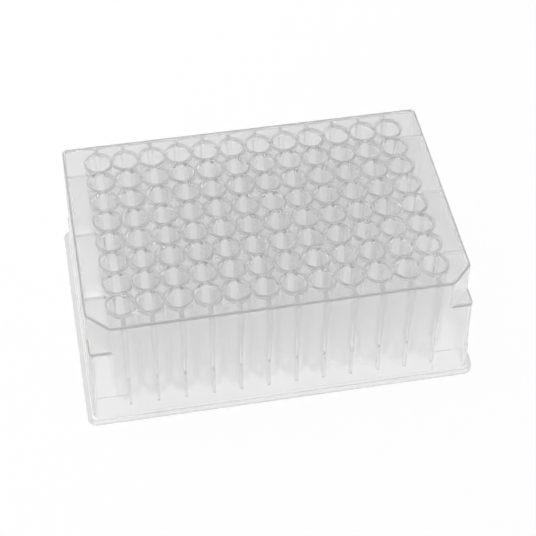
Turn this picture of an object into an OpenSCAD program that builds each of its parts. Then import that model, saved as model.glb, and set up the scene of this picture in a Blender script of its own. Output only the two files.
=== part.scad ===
// A deep-well plate with 96 round wells, moulded in one piece from natural polypropylene.
// The plate stands on its base flange. The origin is at the middle of the footprint, on the
// surface it stands on. Columns run along X, rows along Y (the first row is at +Y), and +Z is up.

/* [Well grid] */
// Number of columns of wells, along X
columns = 12; // [2:1:14]
// Number of rows of wells, along Y
rows = 8; // [2:1:9]
// Distance from one well's axis to the next
pitch = 9; // [7:0.1:14]

/* [Wells] */
// Thickness of the wall that two neighbouring wells share
shared_wall = 1; // [0.6:0.05:1.3]
// Thickness of a well's own wall where no neighbour shares it
tube_wall = 0.6; // [0.6:0.05:0.85]
// Thickness of the raised collar round each mouth
collar_wall = 0.9; // [0.7:0.05:1.3]
// Height of the collars above the deck
collar_h = 0.8; // [0.3:0.1:2]
// Gap between the tip of a well's round bottom and the surface below
tip_gap = 1.3; // [0.5:0.1:3]

/* [Body] */
// Overall height, from the surface to the collars' tops
plate_h = 45; // [30:0.5:60]
// Thickness of the deck that joins the wells to the outer walls
deck_t = 1.2; // [0.8:0.1:2]
// Thickness of the outer walls
wall_t = 1; // [0.8:0.1:1.5]
// Slope of the outer walls, which lets them out of the mould, in degrees
draft = 1.2; // [0:0.1:2]
// Radius of the outer walls' upright corners
wall_corner_r = 1.8; // [0.8:0.1:3]
// From the axis of an end column to the deck's edge
end_margin = 11.4; // [9:0.1:16]
// From the axis of an edge row to the deck's edge
side_margin = 8.9; // [7.5:0.1:14]

/* [Front corners] */
// Length cut from each edge of the deck at the two front corners
chamfer = 6.9; // [2:0.1:8.5]
// How far the shelf under each cut corner lies below the deck
shelf_drop = 11; // [4:0.5:16]
// Thickness of that shelf
shelf_t = 1; // [0.8:0.1:2]

/* [Base] */
// How far the base flange stands out past the deck at each end
flange_reach_x = 2.98; // [2.5:0.01:6]
// How far it stands out past the deck at the front and the back
flange_reach_y = 2.34; // [2.2:0.01:6]
// Radius of the footprint's corners
foot_corner_r = 3.18; // [1.3:0.01:6]
// Height of the base flange
flange_h = 2.5; // [1.5:0.1:5]
// Thickness of the flange's upright rim
flange_wall = 1.2; // [0.8:0.1:1.2]
// Thickness of the ledge that joins the rim to the outer walls
ledge_t = 1.2; // [0.8:0.1:1.4]
// Height of the step in the outer walls round the two ends
step_z = 12.3; // [6:0.1:16]
// How far the walls below that step stand out
step_out = 0.25; // [0.1:0.05:0.5]

/* [Ribs] */
// Thickness of the ribs between the wells and the outer walls
rib_t = 1; // [0.6:0.1:1.5]
// Height at which the full ribs end
rib_foot = 17; // [10:0.5:25]
// Height at which the shallow fins below them end
fin_foot = 6.3; // [4:0.1:9]
// How far these fins stand out from the wall's inner face
fin_reach = 1.2; // [0.5:0.1:2]
// Number of ribs on each end wall
end_ribs = 3; // [2:1:5]

/* [Hidden] */
$fn = 96;
corner_steps = 6;
min_corner_r = 0.4;
overlap = 0.5;
clear_cut = 10;

// Half sizes of the grid, the deck and the footprint
grid_x = (columns - 1) * pitch / 2;
grid_y = (rows - 1) * pitch / 2;
deck_x = grid_x + end_margin;
deck_y = grid_y + side_margin;
foot_x = deck_x + flange_reach_x;
foot_y = deck_y + flange_reach_y;

// Heights
deck_z = plate_h - collar_h;
deck_under_z = deck_z - deck_t;
shelf_z = deck_z - shelf_drop;
ledge_z = flange_h - ledge_t;

// Radii of a well's bore, its tube and its collar, and the height where its round bottom begins
bore_r = (pitch - shared_wall) / 2;
tube_r = bore_r + tube_wall;
collar_r = bore_r + collar_wall;
dome_z = tip_gap + tube_r;

// How far the walls stand out past the deck's outline at a height z
function spread(z) = tan(draft) * (deck_z - z);

// Outline of a round-cornered rectangle with half sizes x and y, at a height z
function ring(x, y, r, z) = [
    for (q = [0 : 3], i = [0 : corner_steps])
        let (a = 90 * (q + i / corner_steps))
            let (sx = (q == 0 || q == 3) ? 1 : -1, sy = q < 2 ? 1 : -1)
                [sx * (x - r) + r * cos(a), sy * (y - r) + r * sin(a), z]
];

// Solid between two rings that have the same number of points
module loft(low, high) {
    n = len(low);
    bottom = [for (i = [0 : n - 1]) i];
    top = [for (i = [0 : n - 1]) 2 * n - 1 - i];
    sides = [for (i = [0 : n - 1]) [i, i + n, (i + 1) % n + n, (i + 1) % n]];
    polyhedron(concat(low, high), concat([bottom, top], sides));
}

// Block with the outer walls' slope between two heights, set out from them by a distance
module sloped_block(z_low, z_high, out) {
    r = max(wall_corner_r + out, min_corner_r);
    low = spread(z_low) + out;
    high = spread(z_high) + out;
    loft(ring(deck_x + low, deck_y + low, r, z_low), ring(deck_x + high, deck_y + high, r, z_high));
}

// Upright prisms over the two front corners, behind a 45 degree cut of the given length
module corner_prisms(cut, z_low) {
    for (side = [-1, 1])
        translate([0, 0, z_low])
            linear_extrude(plate_h)
                polygon([
                    [side * (deck_x - cut - clear_cut), -deck_y - clear_cut],
                    [side * (deck_x + clear_cut), cut + clear_cut - deck_y],
                    [side * (deck_x + clear_cut), -deck_y - clear_cut]
                ]);
}

// Outside of the body: the sloped walls and the deck, with the two front corners cut back
module body_block() {
    difference() {
        sloped_block(ledge_z, deck_z, 0);
        corner_prisms(chamfer, shelf_z);
    }
}

// Hollow under the deck, one wall thickness inside the block
module body_cavity() {
    difference() {
        sloped_block(-overlap, deck_under_z, -wall_t);
        corner_prisms(chamfer + wall_t * sqrt(2), shelf_z - shelf_t);
    }
}

// Slightly proud lower walls round each end, as far as the ribs of the end columns
module end_steps() {
    reach = foot_x - grid_x;
    for (side = [-1, 1])
        intersection() {
            sloped_block(ledge_z, step_z, step_out);
            translate([side * (grid_x + rib_t / 2 + reach / 2), 0, step_z / 2])
                cube([reach, 2 * foot_y, step_z + overlap], center = true);
        }
}

// Upright prism with the footprint's outline, set in from it by a distance
module foot_block(inset, z_low, z_high) {
    r = foot_corner_r - inset;
    x = foot_x - inset;
    y = foot_y - inset;
    translate([0, 0, z_low])
        linear_extrude(z_high - z_low)
            union() {
                square([2 * (x - r), 2 * y], center = true);
                square([2 * x, 2 * (y - r)], center = true);
                for (sx = [-1, 1], sy = [-1, 1])
                    translate([sx * (x - r), sy * (y - r)]) circle(r);
            }
}

// Outer walls, deck and hollow base flange
module shell() {
    difference() {
        union() {
            body_block();
            end_steps();
            foot_block(0, 0, flange_h);
        }
        body_cavity();
        foot_block(flange_wall, -overlap, ledge_z);
    }
}

// Rib along +X, from a well at near to the middle of the outer wall, with a shallow fin below it.
// deck_edge is where the wall's outer face meets the deck.
module rib(near, deck_edge) {
    wall_mid = deck_edge - wall_t / 2;
    fin_in = wall_mid - wall_t / 2 - fin_reach;
    rotate([90, 0, 0])
        linear_extrude(rib_t, center = true)
            polygon([
                [near, deck_under_z + deck_t / 2],
                [near, rib_foot],
                [fin_in + spread(rib_foot), rib_foot],
                [fin_in + spread(fin_foot), fin_foot],
                [wall_mid + spread(fin_foot), fin_foot],
                [wall_mid + spread(deck_under_z), deck_under_z + deck_t / 2]
            ]);
}

// One rib for each column at the front and the back, and a few on each end wall
module ribs() {
    for (c = [0 : columns - 1], turn = [90, -90])
        translate([c * pitch - grid_x, 0, 0])
            rotate(turn) rib(grid_y + bore_r + tube_wall / 2, deck_y);
    stride = (rows - 2) / (end_ribs - 1);
    for (i = [0 : end_ribs - 1], turn = [0, 180])
        translate([0, round(i * stride) * pitch + pitch / 2 - grid_y, 0])
            rotate(turn) rib(grid_x + tube_wall / 2, deck_x);
}

// Half section of a round-bottomed body of radius r, from its tip up to z_top
module round_bottom_section(r, z_top) {
    translate([0, dome_z])
        intersection() {
            circle(r);
            translate([0, -r]) square(r);
        }
    translate([0, dome_z]) square([r, z_top - dome_z]);
}

// Outside of one well: its tube and the thicker collar at its mouth
module tube() {
    collar_foot = deck_z - deck_t / 2;
    rotate(45)
        rotate_extrude()
            union() {
                round_bottom_section(tube_r, plate_h);
                translate([0, collar_foot]) square([collar_r, plate_h - collar_foot]);
            }
}

// Inside of one well
module bore() {
    rotate(45) rotate_extrude() round_bottom_section(bore_r, plate_h + overlap);
}

// Repeats its children at every well's axis
module at_wells() {
    for (c = [0 : columns - 1], r = [0 : rows - 1])
        translate([c * pitch - grid_x, grid_y - r * pitch, 0]) children();
}

module well_plate() {
    color("gainsboro")
        difference() {
            union() {
                shell();
                ribs();
                at_wells() tube();
            }
            at_wells() bore();
        }
}

well_plate();
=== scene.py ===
# %% [markdown]
# # A deep-well plate in natural polypropylene
#
# A deep-well plate is a block of 96 small test tubes. One shot of polypropylene fills the whole
# mould, so the tubes, the deck that joins their mouths, the outer walls and the base flange are
# a single piece. This lesson builds that piece in three stages. The outer shell is a section
# carried round an outline, in plain mesh code. The wells and the ribs repeat on a grid, so
# Geometry Nodes place and join them. The last stage is the finish: a translucent, slightly milky
# plastic, and the pale studio that shows it.
#
# Everything stands in the frame of the solid model, which is loaded first: metres, the origin at
# the middle of the footprint, columns along X, rows along Y and Z up.

from math import cos, pi, radians, sin, sqrt, tan

import bmesh
import bpy
from mathutils import Matrix, Vector


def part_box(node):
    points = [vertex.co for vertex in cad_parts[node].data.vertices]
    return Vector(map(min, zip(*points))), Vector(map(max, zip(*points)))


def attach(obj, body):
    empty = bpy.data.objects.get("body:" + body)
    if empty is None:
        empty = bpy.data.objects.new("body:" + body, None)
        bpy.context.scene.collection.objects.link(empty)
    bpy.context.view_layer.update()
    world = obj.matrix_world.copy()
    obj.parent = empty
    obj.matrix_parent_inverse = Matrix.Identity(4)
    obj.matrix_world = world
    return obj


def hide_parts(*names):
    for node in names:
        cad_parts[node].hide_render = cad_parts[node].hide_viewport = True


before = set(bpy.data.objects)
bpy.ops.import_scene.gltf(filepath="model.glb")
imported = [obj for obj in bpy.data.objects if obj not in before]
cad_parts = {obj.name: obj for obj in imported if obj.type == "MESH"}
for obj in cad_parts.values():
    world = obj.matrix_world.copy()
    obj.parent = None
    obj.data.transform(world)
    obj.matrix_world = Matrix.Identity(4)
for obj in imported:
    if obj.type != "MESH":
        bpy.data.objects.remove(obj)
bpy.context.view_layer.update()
lowest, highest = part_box("well_plate")
print("solid model:", sorted(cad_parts), "box in mm:",
      [round(1000 * side, 2) for side in highest - lowest])

# %% [markdown]
# ## The sizes
#
# A maker starts from the drawing. The footprint and the height are read from the solid model.
# The 9 mm pitch is the one that every pipette with twelve or eight tips is made to. All the
# other sizes are written once, here, and each later step works from these names.

# %% Sizes of the plate
MM = 0.001
COLUMNS, ROWS, PITCH = 12, 8, 9 * MM
GRID_X, GRID_Y = (COLUMNS - 1) * PITCH / 2, (ROWS - 1) * PITCH / 2
FOOT_X, FOOT_Y, PLATE_H = highest.x, highest.y, highest.z

DECK_X, DECK_Y = GRID_X + 11.4 * MM, GRID_Y + 8.9 * MM
DECK_Z, DECK_T = PLATE_H - 0.8 * MM, 1.2 * MM
DECK_UNDER = DECK_Z - DECK_T
WALL_T, WALL_R, DRAFT = 1 * MM, 1.8 * MM, tan(radians(1.2))
CHAMFER, SHELF_Z, SHELF_T = 6.9 * MM, DECK_Z - 11 * MM, 1 * MM
STEP_Z, STEP_OUT = 12.3 * MM, 0.25 * MM
FLANGE_H, FLANGE_WALL, LEDGE_T, FOOT_R = 2.5 * MM, 1.2 * MM, 1.2 * MM, 3.18 * MM

BORE_R, TUBE_R, COLLAR_R = 4 * MM, 4.6 * MM, 4.9 * MM
DOME_Z = 1.3 * MM + TUBE_R
RIB_T, RIB_FOOT, FIN_FOOT, FIN_REACH = 1 * MM, 17 * MM, 6.3 * MM, 1.2 * MM
END_RIBS, END_RIB_SPACING = 3, 3 * PITCH
STEP_X = GRID_X + RIB_T / 2
print("grid half sizes in mm:", 1000 * GRID_X, 1000 * GRID_Y, "deck at", round(1000 * DECK_Z, 2))

# %% [markdown]
# ## The outline of the walls
#
# Seen from above, the walls are a rectangle with round corners, and the deck has its two front
# corners cut off at 45 degrees. Two outlines can only be joined by a strip of faces if they have
# the same number of points in the same order. So one function draws both: where the front corner
# is cut, its points lie along the cut, and where it is whole, the same points bend round it. The
# walls lean out by 1.2 degrees, the draft that lets the plate slide out of its mould.

# %% Draw one level of the outline
CORNER_POINTS = 6


def quarter(centre, radius, start, count):
    """Points round a quarter circle, from a start angle in degrees."""
    turns = [radians(start + 90 * i / (count - 1)) for i in range(count)]
    return [centre + radius * Vector((cos(t), sin(t))) for t in turns]


def outline(z, half_x, half_y, radius, cut_line, is_cut, end_out=0.0):
    """One level, anticlockwise from the right of the front edge. A front corner is cut where x and
    -y add up to cut_line. end_out moves the two ends out, past the step's place."""
    end_x, end_y = half_x + end_out, half_y + end_out
    leave = Vector((cut_line - end_y, -end_y))
    join = Vector((end_x, end_x - cut_line))
    if is_cut:
        steps = [(i + 1) / (CORNER_POINTS + 1) for i in range(CORNER_POINTS)]
        corner = [leave.lerp(join, step) for step in steps]
    else:
        corner = quarter(Vector((end_x - radius, radius - end_y)), radius, -90, CORNER_POINTS)
    back = quarter(Vector((end_x - radius, end_y - radius)), radius, 0, CORNER_POINTS + 1)
    right = [Vector((STEP_X, -half_y)), Vector((STEP_X, -end_y)), leave, *corner, join, *back,
             Vector((STEP_X, end_y)), Vector((STEP_X, half_y))]
    left = [Vector((-p.x, p.y)) for p in reversed(right)]
    return [Vector((p.x, p.y, z)) for p in right + left]


def wall_level(z, is_cut=False, inset=0.0, end_out=0.0):
    """The walls' outline at a height, or their inner face where inset is the wall's thickness."""
    out = DRAFT * (DECK_Z - z) - inset
    cut_line = DECK_X + DECK_Y - CHAMFER - inset * sqrt(2)
    return outline(z, DECK_X + out, DECK_Y + out, WALL_R - inset + end_out, cut_line, is_cut,
                   end_out)


def foot_level(z, inset=0.0):
    """The base flange's outline at a height."""
    return outline(z, FOOT_X - inset, FOOT_Y - inset, FOOT_R - inset,
                   DECK_X + DECK_Y - CHAMFER, False)


print("points on each level:", len(wall_level(DECK_Z)))

# %% [markdown]
# ## The shell
#
# The shell is the deck, the walls, the two corner shelves and the hollow flange. It could be cut
# from blocks, but a stack of outlines is neater, because it follows the plate's section with one
# unbroken skin: down the outside from the deck to the flange, round its rim, and up the inside to
# the underside of the deck. Two levels at the same height make a flat ledge. Where they coincide,
# their points are merged, and what is left between them is just the ledge: the shelves under the
# cut corners, and the small step round the two ends.

# %% Stack the levels
shelf_under, ledge_under = SHELF_Z - SHELF_T, FLANGE_H - LEDGE_T
section = [
    wall_level(DECK_Z, is_cut=True),
    wall_level(SHELF_Z, is_cut=True),
    wall_level(SHELF_Z),
    wall_level(STEP_Z),
    wall_level(STEP_Z, end_out=STEP_OUT),
    wall_level(FLANGE_H, end_out=STEP_OUT),
    foot_level(FLANGE_H),
    foot_level(0),
    foot_level(0, inset=FLANGE_WALL),
    foot_level(ledge_under, inset=FLANGE_WALL),
    wall_level(ledge_under, inset=WALL_T),
    wall_level(shelf_under, inset=WALL_T),
    wall_level(shelf_under, is_cut=True, inset=WALL_T),
    wall_level(DECK_UNDER, is_cut=True, inset=WALL_T),
]
MERGE = 0.001 * MM


def skin(levels):
    """A closed skin over a stack of outlines, from the first one's face to the last one's."""
    made = bmesh.new()
    rows = [[made.verts.new(point) for point in level] for level in levels]
    count = len(rows[0])
    for above, below in zip(rows, rows[1:]):
        for i in range(count):
            j = (i + 1) % count
            made.faces.new((above[i], below[i], below[j], above[j]))
    made.faces.new(rows[0])
    made.faces.new(list(reversed(rows[-1])))
    bmesh.ops.remove_doubles(made, verts=made.verts, dist=MERGE)
    bmesh.ops.dissolve_degenerate(made, edges=made.edges, dist=MERGE)
    return made


shell_mesh = skin(section)
print("shell:", len(shell_mesh.faces), "faces,", round(shell_mesh.calc_volume() * 1e9), "mm3,",
      sum(not edge.is_manifold for edge in shell_mesh.edges), "open edges")

# %% [markdown]
# ## Rounded edges
#
# No moulded edge is truly sharp. A mould is cut by a turning tool, so every corner has a small
# radius, and in clear plastic that radius is what the eye reads: it bends the light and draws a
# soft dark line along the edge. A Bevel modifier rounds the edges, and a bevel weight on each one
# says by how much. Only edges that turn sharply get a weight. The step is a quarter of a
# millimetre deep, so a full radius would swallow it, and it gets a small share.

# %% Weigh the edges for the bevel
EDGE_R, EDGE_STEPS = 0.35 * MM, 3
STEP_WEIGHT, SHARP_TURN = 0.2, radians(26)


def on_step(edge):
    """True on the edges of the step: along its ledge, and down its two upright ends."""
    ends = [vert.co for vert in edge.verts]
    level = all(abs(p.z - STEP_Z) < MERGE for p in ends)
    upright = all(p.z < STEP_Z + MERGE and abs(abs(p.x) - STEP_X) < MERGE and abs(p.y) > DECK_Y
                  for p in ends)
    return level or (upright and ends[0].z != ends[1].z)


weight = shell_mesh.edges.layers.float.new("bevel_weight_edge")
for edge in shell_mesh.edges:
    if edge.calc_face_angle(0) > SHARP_TURN:
        edge[weight] = STEP_WEIGHT if on_step(edge) else 1.0


def stand(name, made):
    """Turns finished mesh code into an object at the origin."""
    mesh = bpy.data.meshes.new(name)
    made.to_mesh(mesh)
    made.free()
    piece = bpy.data.objects.new(name, mesh)
    bpy.context.scene.collection.objects.link(piece)
    return piece


plate_blank = stand("plate_blank", shell_mesh)
rounding = plate_blank.modifiers.new("Rounded edges", "BEVEL")
rounding.limit_method = "WEIGHT"
rounding.width, rounding.segments = EDGE_R, EDGE_STEPS
rounding.use_clamp_overlap = False
print("rounded edges:", sum(item.value > 0 for item in
                            plate_blank.data.attributes["bevel_weight_edge"].data))

# %% [markdown]
# ## Turned blanks for the wells
#
# A well is a round-bottomed tube with a raised collar at its mouth. The mould's cores for it are
# turned on a lathe, so these two shapes are made the same way, from a profile of radii and
# heights that is spun round the Z axis. One blank is the outside, the tube and its collar. The
# other is the core, the space inside, which flares at the top to round the mouth's inner edge.
# Both are closed at their poles, so that the join and the cut that follow stay watertight.

# %% Turn the tube and the core
SIDES, DOME_STEPS, RIM_R, RIM_STEPS = 40, 6, 0.25 * MM, 3


def arc(centre_r, centre_z, radius, start, end, steps):
    """Profile points round an arc, with angles in degrees from the outward direction."""
    turns = [radians(start + (end - start) * i / steps) for i in range(steps + 1)]
    return [(centre_r + radius * cos(t), centre_z + radius * sin(t)) for t in turns]


def turned(name, profile):
    """Spins a profile, from its bottom pole to its top pole, into a closed blank."""
    made, rings = bmesh.new(), []
    for radius, z in profile:
        turns = [2 * pi * (i + 0.5) / SIDES for i in range(SIDES if radius else 1)]
        rings.append([made.verts.new((radius * cos(t), radius * sin(t), z)) for t in turns])
    for low, high in zip(rings, rings[1:]):
        for i in range(SIDES):
            j = (i + 1) % SIDES
            if len(low) == 1:
                made.faces.new((low[0], high[j], high[i]))
            elif len(high) == 1:
                made.faces.new((low[i], low[j], high[0]))
            else:
                made.faces.new((low[i], low[j], high[j], high[i]))
    print(name, len(made.faces), "faces,", round(made.calc_volume(signed=True) * 1e9), "mm3")
    return stand(name, made)


def round_bottom(radius):
    """The profile of a round bottom, from its pole up to where the straight wall begins."""
    return [(0, DOME_Z - radius)] + arc(0, DOME_Z, radius, -90, 0, DOME_STEPS)[1:]


collar_foot = DECK_Z - DECK_T / 2
tube_blank = turned("tube_blank", [
    *round_bottom(TUBE_R), (TUBE_R, collar_foot), (COLLAR_R, collar_foot + MERGE),
    *arc(COLLAR_R - RIM_R, PLATE_H - RIM_R, RIM_R, 0, 90, RIM_STEPS), (0, PLATE_H)])
core_blank = turned("core_blank", [
    *round_bottom(BORE_R), *arc(BORE_R + RIM_R, PLATE_H - RIM_R, RIM_R, 180, 90, RIM_STEPS),
    (BORE_R + RIM_R, PLATE_H + MM), (0, PLATE_H + MM)])

# %% [markdown]
# ## A blank for the ribs
#
# Thin ribs tie the outer tubes to the walls, so that the walls don't bow when the plastic cools.
# Each is full down to a certain height, and below it goes on as a shallow fin along the wall. It
# is a flat profile, 1 mm thick. There are two blanks, because the gap at the ends is wider than
# the gap at the front and the back.

# %% Cut the ribs
wall_in_tube = (TUBE_R - BORE_R) / 2


def rib_blank(name, near, deck_edge):
    """A rib along X, from a tube at near to the middle of the wall."""
    wall_mid = deck_edge - WALL_T / 2
    fin_in = wall_mid - WALL_T / 2 - FIN_REACH
    lean = {z: DRAFT * (DECK_Z - z) for z in (DECK_UNDER, RIB_FOOT, FIN_FOOT)}
    top = DECK_UNDER + DECK_T / 2
    profile = [(near, top), (near, RIB_FOOT), (fin_in + lean[RIB_FOOT], RIB_FOOT),
               (fin_in + lean[FIN_FOOT], FIN_FOOT), (wall_mid + lean[FIN_FOOT], FIN_FOOT),
               (wall_mid + lean[DECK_UNDER], top)]
    made = bmesh.new()
    front = made.faces.new([made.verts.new((x, -RIB_T / 2, z)) for x, z in profile])
    swept = bmesh.ops.extrude_face_region(made, geom=[front])["geom"]
    bmesh.ops.translate(made, vec=(0, RIB_T, 0),
                        verts=[item for item in swept if isinstance(item, bmesh.types.BMVert)])
    bmesh.ops.recalc_face_normals(made, faces=made.faces)
    print(name, round(made.calc_volume(signed=True) * 1e9), "mm3")
    return stand(name, made)


side_rib_blank = rib_blank("side_rib_blank", GRID_Y + BORE_R + wall_in_tube, DECK_Y)
end_rib_blank = rib_blank("end_rib_blank", GRID_X + wall_in_tube, DECK_X)

# %% [markdown]
# ## A bench for nodes
#
# Geometry and materials are both node trees, so one small class makes nodes for either. It takes
# a node's type, its settings, and the values or links of its sockets. What it hands back is a
# Value, which can be written in a sum: 1 - mask adds one Math node and reads like arithmetic.

# %% Make a value that can stand in a sum


class Value:
    """An output socket that can stand in a sum. Each operator adds one Math node."""

    def __init__(self, bench, socket):
        self.bench, self.socket = bench, socket

    def also(self, name):
        """Another output of the same node."""
        return Value(self.bench, self.socket.node.outputs[name])

    def math(self, operation, *terms):
        return self.bench.add("ShaderNodeMath", {"operation": operation}, dict(enumerate(terms)))

    def __add__(self, other):
        return self.math("ADD", self, other)

    def __radd__(self, other):
        return self.math("ADD", other, self)

    def __sub__(self, other):
        return self.math("SUBTRACT", self, other)

    def __rsub__(self, other):
        return self.math("SUBTRACT", other, self)

    def __mul__(self, other):
        return self.math("MULTIPLY", self, other)

    def __rmul__(self, other):
        return self.math("MULTIPLY", other, self)

    def __lt__(self, other):
        return self.math("LESS_THAN", self, other)

    def __gt__(self, other):
        return self.math("GREATER_THAN", self, other)

    def __abs__(self):
        return self.math("ABSOLUTE", self)

    def fract(self):
        return self.math("FRACT", self)

    def least(self, other):
        return self.math("MINIMUM", self, other)

    def either(self, other):
        """The larger of two masks."""
        return self.math("MAXIMUM", self, other)


print("each operator on a value adds one Math node")

# %% Make the bench


class Bench:
    """A node tree that is built by adding one node at a time."""

    def __init__(self, tree):
        self.tree = tree
        tree.nodes.clear()

    def add(self, kind, settings=None, sockets=None, output=0):
        """Adds a node, sets its settings, then its sockets, and returns one of its outputs."""
        node = self.tree.nodes.new(kind)
        for name, setting in (settings or {}).items():
            setattr(node, name, setting)
        for name, given in (sockets or {}).items():
            for one in given if isinstance(given, list) else [given]:
                if isinstance(one, Value):
                    self.tree.links.new(one.socket, node.inputs[name])
                else:
                    node.inputs[name].default_value = one
        return Value(self, node.outputs[output]) if node.outputs else None


print("the bench takes any node tree")

# %% [markdown]
# ## Wells and ribs by Geometry Nodes
#
# The grid is the plate's rule, so the nodes hold it. A grid of points carries the tubes, a row of
# points carries the ribs of the two long sides, and a short column of points carries those of the
# ends. One Mesh Boolean joins them all to the shell, where neighbours overlap and become one
# wall, and a second one takes the cores out. Columns, rows, pitch and the blanks are inputs with
# names, so another plate is a matter of other numbers. Edges that turn by more than 35 degrees
# stay crisp, and everything else shades smoothly.

# %% Open the tree and name its inputs
plate_tree = bpy.data.node_groups.new("Wells and ribs", "GeometryNodeTree")
nodes = Bench(plate_tree)
INPUTS = {
    "Shell": ("NodeSocketGeometry", None),
    "Columns": ("NodeSocketInt", COLUMNS),
    "Rows": ("NodeSocketInt", ROWS),
    "Pitch": ("NodeSocketFloat", PITCH),
    "End ribs": ("NodeSocketInt", END_RIBS),
    "End rib spacing": ("NodeSocketFloat", END_RIB_SPACING),
    "Tube": ("NodeSocketObject", tube_blank),
    "Core": ("NodeSocketObject", core_blank),
    "Side rib": ("NodeSocketObject", side_rib_blank),
    "End rib": ("NodeSocketObject", end_rib_blank),
    "Plastic": ("NodeSocketMaterial", None),
}
for label, (kind, _) in INPUTS.items():
    plate_tree.interface.new_socket(name=label, in_out="INPUT", socket_type=kind)
plate_tree.interface.new_socket(name="Plate", in_out="OUTPUT", socket_type="NodeSocketGeometry")
given = nodes.add("NodeGroupInput")
print("inputs:", ", ".join(INPUTS))

# %% Place the blanks


def place(points, blank, turn=0.0):
    """Puts a copy of a blank on each point, turned round Z."""
    shape = nodes.add("GeometryNodeObjectInfo", {}, {"Object": given.also(blank)}, "Geometry")
    return nodes.add("GeometryNodeInstanceOnPoints", {},
                     {"Points": points, "Instance": shape, "Rotation": (0, 0, turn)})


def across(x=0.0, y=0.0):
    """A vector in the plane of the deck."""
    return nodes.add("ShaderNodeCombineXYZ", {}, {"X": x, "Y": y})


def line_of(count, offset, start):
    """A line of points."""
    return nodes.add("GeometryNodeMeshLine", {},
                     {"Count": given.also(count), "Offset": offset, "Start Location": start})


pitch = given.also("Pitch")
span_x, span_y = (given.also("Columns") - 1) * pitch, (given.also("Rows") - 1) * pitch
spots = nodes.add("GeometryNodeMeshGrid", {},
                  {"Size X": span_x, "Size Y": span_y,
                   "Vertices X": given.also("Columns"), "Vertices Y": given.also("Rows")})
end_gap = given.also("End rib spacing")
end_span = (given.also("End ribs") - 1) * end_gap
side_spots = line_of("Columns", across(pitch), across(span_x * -0.5))
end_spots = line_of("End ribs", across(y=end_gap), across(y=end_span * -0.5))
all_ribs = [place(side_spots, "Side rib", pi / 2), place(side_spots, "Side rib", -pi / 2),
            place(end_spots, "End rib"), place(end_spots, "End rib", pi)]
print("nodes so far:", len(plate_tree.nodes))

# %% Join, cut and finish
CRISP_TURN = radians(35)
joined = nodes.add("GeometryNodeMeshBoolean", {"operation": "UNION", "solver": "MANIFOLD"},
                   {"Mesh 2": [given.also("Shell"), place(spots, "Tube"), *all_ribs]})
bored = nodes.add("GeometryNodeMeshBoolean", {"operation": "DIFFERENCE", "solver": "MANIFOLD"},
                  {"Mesh 1": joined, "Mesh 2": place(spots, "Core")})
clean = nodes.add("GeometryNodeMergeByDistance", {}, {"Geometry": bored, "Distance": 2 * MERGE})
smooth = nodes.add("GeometryNodeSetShadeSmooth", {"domain": "FACE"}, {"Geometry": clean})
crisp = nodes.add("GeometryNodeInputMeshEdgeAngle") > CRISP_TURN
shaded = nodes.add("GeometryNodeSetShadeSmooth", {"domain": "EDGE"},
                   {"Geometry": smooth, "Selection": crisp, "Shade Smooth": False})
real = nodes.add("GeometryNodeRealizeInstances", {}, {"Geometry": shaded})
finished = nodes.add("GeometryNodeSetMaterial", {},
                     {"Geometry": real, "Material": given.also("Plastic")})
nodes.add("NodeGroupOutput", {}, {"Plate": finished})
print("nodes in all:", len(plate_tree.nodes))

# %% [markdown]
# ## Where the plastic looks different, and where light and shade are painted
#
# One material covers the whole plate, but a moulding doesn't look the same everywhere. The bores
# are polished, so that liquid runs off, and the outsides are lightly blasted. Two neighbouring
# wells share one wall along a narrow web, where light comes through more easily than through two
# tubes with a gap between them, and the bores there are painted milkier and lighter: a painted
# streak of light. The deck's edge, the foot of the flange, the rims of the collars and the ribs
# get painted shade for the light that gets caught in thick corners, and so, a little, do the
# ledges at the two ends and the tops of the walls. A rib also gets painted shade on the deck and
# the wall that it backs, only faintly along the back of the deck.
#
# Each of these places is found from the plate's own coordinates. Dividing X and Y by the pitch
# leaves a fraction, which says how far a point is from the axis of its own well. Every place
# ends as a number from 0 to 1, and `rise` gives it a soft edge. Numbers of places are multiplied
# where both must hold, and `either` takes the larger one where one of them is enough.

# %% Find the bores, the tubes and the deck
BETWEEN_R, TUBE_REACH = (BORE_R + TUBE_R) / 2, TUBE_R * 1.02
DECK_BAND_Z = DECK_UNDER - 0.1 * MM

plastic = bpy.data.materials.new("natural_polypropylene")
plastic.use_nodes = True
shader = Bench(plastic.node_tree)
spot = shader.add("ShaderNodeTexCoord", output="Object")
x = shader.add("ShaderNodeSeparateXYZ", {}, {"Vector": spot})
y, z = x.also("Y"), x.also("Z")
side, depth = abs(x), abs(y)
off_x, off_y = ((part * (1 / PITCH)).fract() * PITCH - PITCH / 2 for part in (x, y))
off_end = (y * (1 / END_RIB_SPACING) + 0.5).fract() * END_RIB_SPACING - END_RIB_SPACING / 2
below = (z - DOME_Z).least(0)
in_bore = ((side < GRID_X + PITCH / 2) * (depth < GRID_Y + PITCH / 2)
           * (off_x * off_x + off_y * off_y + below * below < BETWEEN_R ** 2))
in_deck = (z > DECK_BAND_Z) * (1 - in_bore)
in_tube = ((side < GRID_X + TUBE_REACH) * (depth < GRID_Y + TUBE_REACH)
           * (1 - in_bore.either(in_deck)))
print("nodes for the bores, the tubes and the deck:", len(plastic.node_tree.nodes))

# %% Find the webs, the rims, the edges and the flange, where light and shade are painted
EDGE_W, EDGE_SOFT, EDGE_OVER = 0.5 * MM, 0.25 * MM, 0.05 * MM
WEB_W, WEB_TOP_W = 1.15 * MM, 0.7 * MM
WEB_FADE_Z, WEB_END_Z = DECK_UNDER - 1.5 * MM, DECK_Z - 0.2 * MM
SIDE_ROOT_W, END_ROOT_W, END_ROOT_SHARE = RIB_T * 0.7, RIB_T * 1.3, 0.5
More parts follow.
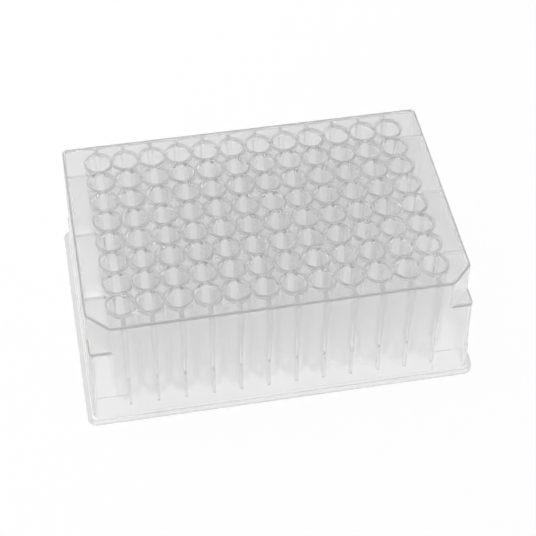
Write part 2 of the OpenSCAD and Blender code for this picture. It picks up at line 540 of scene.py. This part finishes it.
# A band holds the height or distance where a rise starts, and the one where it is full.
RIM_BAND = DECK_Z + 0.2 * MM, DECK_Z + 0.6 * MM
MOUTH_BAND = DECK_Z - 1.2 * MM, DECK_Z + 0.1 * MM
CUT_LINE = DECK_X + DECK_Y - CHAMFER
FOOT_EDGE_BAND, END_LEDGE_X = (0.45 * MM, 0.2 * MM), DECK_X + DRAFT * DECK_Z + STEP_OUT


def rise(value, start, end):
    """A smooth step from 0 at start to 1 at end."""
    return shader.add("ShaderNodeMapRange", {"interpolation_type": "SMOOTHSTEP"},
                      {"Value": value, "From Min": start, "From Max": end})


# The mask for a line of painted shade along an outer edge.
def edge_band(top):
    """1 along the walls' outer edge at a height, and 0 a little way in from it."""
    out = DRAFT * (DECK_Z - top)
    beyond = (side - (DECK_X + out)).either(depth - (DECK_Y + out))
    if top == DECK_Z:
        beyond = beyond.either((side - y - CUT_LINE) * sqrt(0.5))
    band = rise(beyond, -EDGE_W - EDGE_SOFT, -EDGE_W)
    return band * rise(z, top - EDGE_W - EDGE_SOFT, top - EDGE_W) * (z < top + EDGE_OVER)


# Painted light: the bores are made milkier, and so lighter, along the webs between neighbouring
# wells and where a rib joins a tube.
web_w = WEB_W + rise(z, WEB_FADE_Z, DECK_Z) * (WEB_TOP_W - WEB_W)
between_rows = (abs(off_x) < web_w) * (depth < GRID_Y)
between_columns = (abs(off_y) < web_w) * (side < GRID_X)
at_side_rib = (abs(off_x) < SIDE_ROOT_W) * (depth > GRID_Y)
at_end_rib = (abs(off_end) < END_ROOT_W) * (side > GRID_X) * END_ROOT_SHARE
webs = (between_rows.either(between_columns).either(at_side_rib).either(at_end_rib)
        * in_bore * (z < WEB_END_Z))
# Painted shade: soft bands along the rims of the collars and the mouths of the bores, the deck's
# outer edge, the edges of the shelves, the foot of the flange and the two end ledges.
rims = rise(z, *RIM_BAND).either(in_bore * rise(z, *MOUTH_BAND))
edges = edge_band(DECK_Z).either(edge_band(SHELF_Z) * (side - y > CUT_LINE))
foot_edge = rise(z, *FOOT_EDGE_BAND)
end_ledge = (side > END_LEDGE_X) * (z < FLANGE_H + EDGE_OVER)
print("with the webs, the rims and the edges:", len(plastic.node_tree.nodes), "nodes")

# %% Find the ribs, and the deck and the walls that they back, for their painted shade
# Shares of painted shade in the ribs, over them on the deck, and on the walls that they back.
FIN_PAINTED_SHADE, RIB_PAINTED_SHADE, BACKED_PAINTED_SHADE, RIB_FOOT_PAINTED_SHADE = 0.09, 0.40, 0.20, 0.60
OVER_RIB_PAINTED_SHADE, OVER_BACK_RIB_PAINTED_SHADE = 0.40, 0.12
RIB_HALF, FOOT_BAND = RIB_T * 0.55, 0.4 * MM
IN_WALL_Y, IN_WALL_X = DECK_Y - WALL_T * 1.02, DECK_X - WALL_T * 1.02
OVER_SIDE_BAND, OVER_END_BAND = (0.9 * MM, 0.4 * MM), (0.7 * MM, 0.3 * MM)
BACKED_TOP, BACKED_FOOT = 1.8 * MM, 0.4 * MM

on_columns, on_rows = side < GRID_X + PITCH / 2, depth < GRID_Y + PITCH / 2
lean = (DECK_Z - z) * DRAFT
near_deck = rise(z, RIB_FOOT, DECK_UNDER)
in_side_rib = ((abs(off_x) < RIB_HALF) * on_columns
               * (depth > GRID_Y + TUBE_R) * (depth - lean < IN_WALL_Y))
in_end_rib = ((abs(off_end) < RIB_HALF) * on_rows
              * (side > GRID_X + TUBE_R) * (side - lean < IN_WALL_X))
# Painted shade in the side ribs: faint in the fins, deeper near the deck, deepest in a band at the
# rib's foot.
rib_foot = abs(z - RIB_FOOT) < FOOT_BAND
ribs = ((FIN_PAINTED_SHADE + near_deck * (RIB_PAINTED_SHADE - FIN_PAINTED_SHADE)).either(rib_foot * RIB_FOOT_PAINTED_SHADE)
        * in_side_rib * (z < DECK_UNDER))
# Painted shade on the deck over each rib, weaker over the back ribs, which are built the same as
# the front ones.
over_side = rise(abs(off_x), *OVER_SIDE_BAND) * on_columns * (depth > GRID_Y + BORE_R)
over_end = rise(abs(off_end), *OVER_END_BAND) * on_rows * (side > GRID_X + BORE_R)
over_rib_shade_by_side = OVER_RIB_PAINTED_SHADE + (y > 0) * (OVER_BACK_RIB_PAINTED_SHADE - OVER_RIB_PAINTED_SHADE)
painted_shade_over_ribs = (over_side * over_rib_shade_by_side).either(over_end * OVER_RIB_PAINTED_SHADE) * in_deck
# Painted shade on the front and back walls over each side rib, in a band that narrows and fades
# from the deck down to the fins' foot.
half = BACKED_FOOT + near_deck * (BACKED_TOP - BACKED_FOOT)
painted_shade_on_backed_wall = (rise(abs(off_x), half, 0) * on_columns * (z > FIN_FOOT)
          * (depth - lean > DECK_Y - WALL_T / 2)
          * (FIN_PAINTED_SHADE + near_deck * (BACKED_PAINTED_SHADE - FIN_PAINTED_SHADE)))
print("with the ribs:", len(plastic.node_tree.nodes), "nodes")

# %% [markdown]
# ## The plastic
#
# Natural polypropylene has no pigment. It is clear, but small crystals inside it scatter some of
# the light, so the plate looks milky. Four parts make that up. Most of it is clear plastic with a
# rough surface, which bends and blurs what is behind it. A milky share takes in light and gives
# it back on both sides, and a darker share of the same kind is painted shade in the places found
# above, and the specks of the blasting. Lastly, lamps shine through it: a real ray of light finds
# its way through all these walls, but a path tracer would lose it, so shadow rays and diffuse rays
# pass nearly straight through.
#
# The tubes get rougher and milkier from their tips up to the deck. Soft clouds vary the milkiness
# by a little, as the melt's flow does. Fine specks, and a fine grain in the bump, stand for the
# blasting.

# %% Mix the plastic


def grey(level):
    """A colour without a hue."""
    return (level, level, level, 1)


# The darker grey is mixed in as painted shade, and as the specks that stand for the blasting.
CLEAR_TINT, MILK, SHADE_AND_SPECK_GREY, IOR = grey(1.0), grey(0.88), grey(0.50), 1.49
ROUGH_OUT, ROUGH_DECK, ROUGH_BORE = 0.25, 0.20, 0.12
ROUGH_TIP, ROUGH_TUBE = 0.12, 0.26
MILK_OUT, MILK_DECK, MILK_BORE, MILK_WEB_PAINTED_LIGHT = 0.235, 0.12, 0.02, 0.42
MILK_TIP, MILK_TUBE = 0.03, 0.14
# Shares of painted shade, and the share of the specks:
EDGE_PAINTED_SHADE, RIM_PAINTED_SHADE, WALL_TOP_PAINTED_SHADE = 0.80, 0.36, 0.05
FOOT_EDGE_PAINTED_SHADE, LEDGE_PAINTED_SHADE, DARK_SPECK = 0.30, 0.15, 0.03
TOP_BAND = DECK_Z - 16 * MM, DECK_Z
BACK_SHARE, LAMPS_THROUGH = 0.655, 0.97
SPECK_SIZE, SPECK_BAND = 0.4 * MM, (0.35, 0.75)
CLOUD_SIZE, CLOUD_DEPTH = 22 * MM, 0.10
GRAIN_SIZE, GRAIN_DEPTH = 0.35 * MM, 0.004 * MM


def noise(size, detail):
    """Soft noise between 0 and 1, with blots of a size."""
    return shader.add("ShaderNodeTexNoise", {}, {"Vector": spot, "Scale": 1 / size,
                                                 "Detail": detail})


clouds, grain = noise(CLOUD_SIZE, 2), noise(GRAIN_SIZE, 1)
specks = rise(noise(SPECK_SIZE, 1), *SPECK_BAND)
blasted = shader.add("ShaderNodeBump", {}, {"Strength": 1.0, "Distance": GRAIN_DEPTH,
                                            "Height": grain * (1 - in_bore)})
up_tube = rise(z, DOME_Z, DECK_UNDER)
tube_rough = ROUGH_TIP + up_tube * (ROUGH_TUBE - ROUGH_TIP)
tube_milk = MILK_TIP + up_tube * (MILK_TUBE - MILK_TIP)
rough = (ROUGH_OUT + in_bore * (ROUGH_BORE - ROUGH_OUT) + in_deck * (ROUGH_DECK - ROUGH_OUT)
         + in_tube * (tube_rough - ROUGH_OUT))
# The milky share is painted lighter along the webs and in the end ribs, a painted streak of light.
milky = ((MILK_OUT + in_bore * (MILK_BORE - MILK_OUT) + in_deck * (MILK_DECK - MILK_OUT)
          + in_tube * (tube_milk - MILK_OUT) + webs * (MILK_WEB_PAINTED_LIGHT - MILK_BORE)
          + in_end_rib * (MILK_WEB_PAINTED_LIGHT - MILK_OUT))
         * (1 + (clouds - 0.5) * CLOUD_DEPTH))
# Painted shade: outside the grid of wells, the walls and the ribs darken over the 16 mm below the
# deck's top.
wall_top_painted_shade = (1 - on_columns * on_rows) * (z < DECK_UNDER) * rise(z, *TOP_BAND)
# All of the darker share below is painted shade, except the specks, which stand for the blasting.
shade_and_specks = ((edges * EDGE_PAINTED_SHADE).either(rims * RIM_PAINTED_SHADE).either(ribs).either(painted_shade_over_ribs).either(painted_shade_on_backed_wall)
        .either(wall_top_painted_shade * WALL_TOP_PAINTED_SHADE).either(foot_edge * FOOT_EDGE_PAINTED_SHADE)
        .either(end_ledge * LEDGE_PAINTED_SHADE).either(specks * DARK_SPECK))


def both_sides(colour):
    """A colour that gives back the light from in front, and passes on the light from behind."""
    return shader.add("ShaderNodeMixShader", {}, {
        0: BACK_SHARE,
        1: shader.add("ShaderNodeBsdfDiffuse", {}, {"Color": colour, "Normal": blasted}),
        2: shader.add("ShaderNodeBsdfTranslucent", {}, {"Color": colour, "Normal": blasted})})


clear = shader.add("ShaderNodeBsdfPrincipled", {},
                   {"Base Color": CLEAR_TINT, "Roughness": rough, "IOR": IOR,
                    "Transmission Weight": 1.0, "Normal": blasted})
frosted = shader.add("ShaderNodeMixShader", {}, {0: milky, 1: clear, 2: both_sides(MILK)})
shaded = shader.add("ShaderNodeMixShader", {}, {0: shade_and_specks, 1: frosted, 2: both_sides(SHADE_AND_SPECK_GREY)})
path = shader.add("ShaderNodeLightPath")
light_ray = path.also("Is Shadow Ray").either(path.also("Is Diffuse Ray"))
lit = shader.add("ShaderNodeMixShader", {}, {
    0: light_ray * LAMPS_THROUGH, 1: shaded, 2: shader.add("ShaderNodeBsdfTransparent")})
shader.add("ShaderNodeOutputMaterial", {}, {"Surface": lit})
print(plastic.name, "has", len(plastic.node_tree.nodes), "nodes")

# %% [markdown]
# ## Bake the plate
#
# The modifier gets its inputs by their identifiers, before the plate is first evaluated. A
# Weighted Normal modifier comes last, so that the flat walls shade flat right up to their rounded
# edges. Then the result is copied into a plain mesh, and the blanks and modifiers are thrown
# away. The new mesh stands for the solid model's plate and rides on its body.

# %% Evaluate and keep the result
wells = plate_blank.modifiers.new("Wells and ribs", "NODES")
wells.node_group = plate_tree
values = {label: value for label, (_, value) in INPUTS.items()} | {"Plastic": plastic}
for item in plate_tree.interface.items_tree:
    if item.in_out == "INPUT" and values[item.name] is not None:
        wells[item.identifier] = values[item.name]
weighted = plate_blank.modifiers.new("Flat faces shade flat", "WEIGHTED_NORMAL")
weighted.keep_sharp = True
depsgraph = bpy.context.evaluated_depsgraph_get()
baked = bpy.data.meshes.new_from_object(plate_blank.evaluated_get(depsgraph), depsgraph=depsgraph)
baked.name = "moulded_plate"
baked.materials.clear()
baked.materials.append(plastic)
baked.polygons.foreach_set("material_index", [0] * len(baked.polygons))
for blank in (plate_blank, tube_blank, core_blank, side_rib_blank, end_rib_blank):
    bpy.data.objects.remove(blank)

plate = bpy.data.objects.new("moulded_plate", baked)
bpy.context.scene.collection.objects.link(plate)
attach(plate, "root")
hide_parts("well_plate")
print("plate:", len(baked.polygons), "faces,", len(baked.materials), "material,",
      "custom normals:", baked.has_custom_normals)

# %% [markdown]
# ## The studio
#
# The plate stands on a white sweep with no horizon. The floor is pale, and where the camera, a
# reflection or the clear plastic looks at it, it shines white by itself, while a share of plain
# surface keeps the plate's shadow. One large soft lamp above the back and an even world light
# the plate at a plain level.

# %% Lay the floor
FLOOR_SIZE, FLOOR_GAP = 12.0, 0.2 * MM
FLOOR_GLOW, FLOOR_WHITE, FLOOR_PAINT = 0.9, 0.970, 0.9
bpy.ops.mesh.primitive_plane_add(size=FLOOR_SIZE, location=(0, 0, -FLOOR_GAP))
floor = bpy.context.object
floor.name = "floor"
sweep = bpy.data.materials.new("white_sweep")
sweep.use_nodes = True
shader = Bench(sweep.node_tree)
path = shader.add("ShaderNodeLightPath")
seen = path.also("Is Camera Ray").either(path.also("Is Glossy Ray")).either(
    path.also("Is Transmission Ray"))
paint = shader.add("ShaderNodeBsdfDiffuse", {}, {"Color": grey(FLOOR_PAINT)})
glow = shader.add("ShaderNodeEmission", {}, {"Color": grey(FLOOR_WHITE), "Strength": 1.0})
shader.add("ShaderNodeOutputMaterial", {}, {"Surface": shader.add(
    "ShaderNodeMixShader", {}, {0: seen * FLOOR_GLOW, 1: paint, 2: glow})})
floor.data.materials.append(sweep)
print("floor:", FLOOR_SIZE, "m across")

# %% Light the plate
WORLD_LEVEL, LAMP_POWER, LAMP_SIZE = 0.926, 7.1, 0.8
LAMP_PLACE = Vector((-0.5, 0.3, 1.0))
scene = bpy.context.scene
scene.world = bpy.data.worlds.new("even_world")
scene.world.use_nodes = True
sky = scene.world.node_tree.nodes["Background"]
sky.inputs["Color"].default_value = (1, 1, 1, 1)
sky.inputs["Strength"].default_value = WORLD_LEVEL
soft = bpy.data.lights.new("soft_lamp", "AREA")
soft.shape, soft.size, soft.energy = "DISK", LAMP_SIZE, LAMP_POWER
lamp = bpy.data.objects.new("soft_lamp", soft)
lamp.matrix_world = (Matrix.Translation(LAMP_PLACE)
                     @ (-LAMP_PLACE).to_track_quat("-Z", "Y").to_matrix().to_4x4())
scene.collection.objects.link(lamp)
print("lamp:", LAMP_POWER, "W at", [round(part, 2) for part in lamp.location])

# %% [markdown]
# ## The camera and the colours
#
# The camera looks down on the plate from the front left, through a long lens that keeps its
# edges nearly parallel. Its place is in the plate's own frame, and three angles turn it: the
# heading from the +Y axis, the dip below the horizon, and a slight roll. Light has to cross some
# dozens of surfaces, so the limits on bounces are raised. Colours are shown as they are, by the
# Standard view.

# %% Set the camera
CAMERA_PLACE = Vector((-0.0635827, -0.3403369, 0.4024530))
HEADING, DIP, ROLL = radians(10.9748), radians(48.0230), radians(0.78495)
lens = bpy.data.cameras.new("camera")
LENS_MM, FRAME_MM, NEAREST, FURTHEST = 103.317, 36.0, 0.01, 20.0
lens.lens, lens.sensor_width = LENS_MM, FRAME_MM
lens.clip_start, lens.clip_end = NEAREST, FURTHEST
camera = bpy.data.objects.new("camera", lens)
ahead = Vector((sin(HEADING) * cos(DIP), cos(HEADING) * cos(DIP), -sin(DIP)))
turn = ahead.to_track_quat("-Z", "Y").to_matrix() @ Matrix.Rotation(ROLL, 3, "Z")
camera.matrix_world = Matrix.Translation(CAMERA_PLACE) @ turn.to_4x4()
scene.collection.objects.link(camera)
scene.camera = camera
scene.view_settings.view_transform = "Standard"
SURFACES_CROSSED, DIFFUSE_TURNS = 32, 6
scene.cycles.max_bounces = scene.cycles.transmission_bounces = SURFACES_CROSSED
scene.cycles.glossy_bounces = SURFACES_CROSSED
scene.cycles.transparent_max_bounces = 2 * SURFACES_CROSSED
scene.cycles.diffuse_bounces = DIFFUSE_TURNS
print("camera:", round(lens.lens), "mm lens,", round(CAMERA_PLACE.length, 2), "m from the plate")
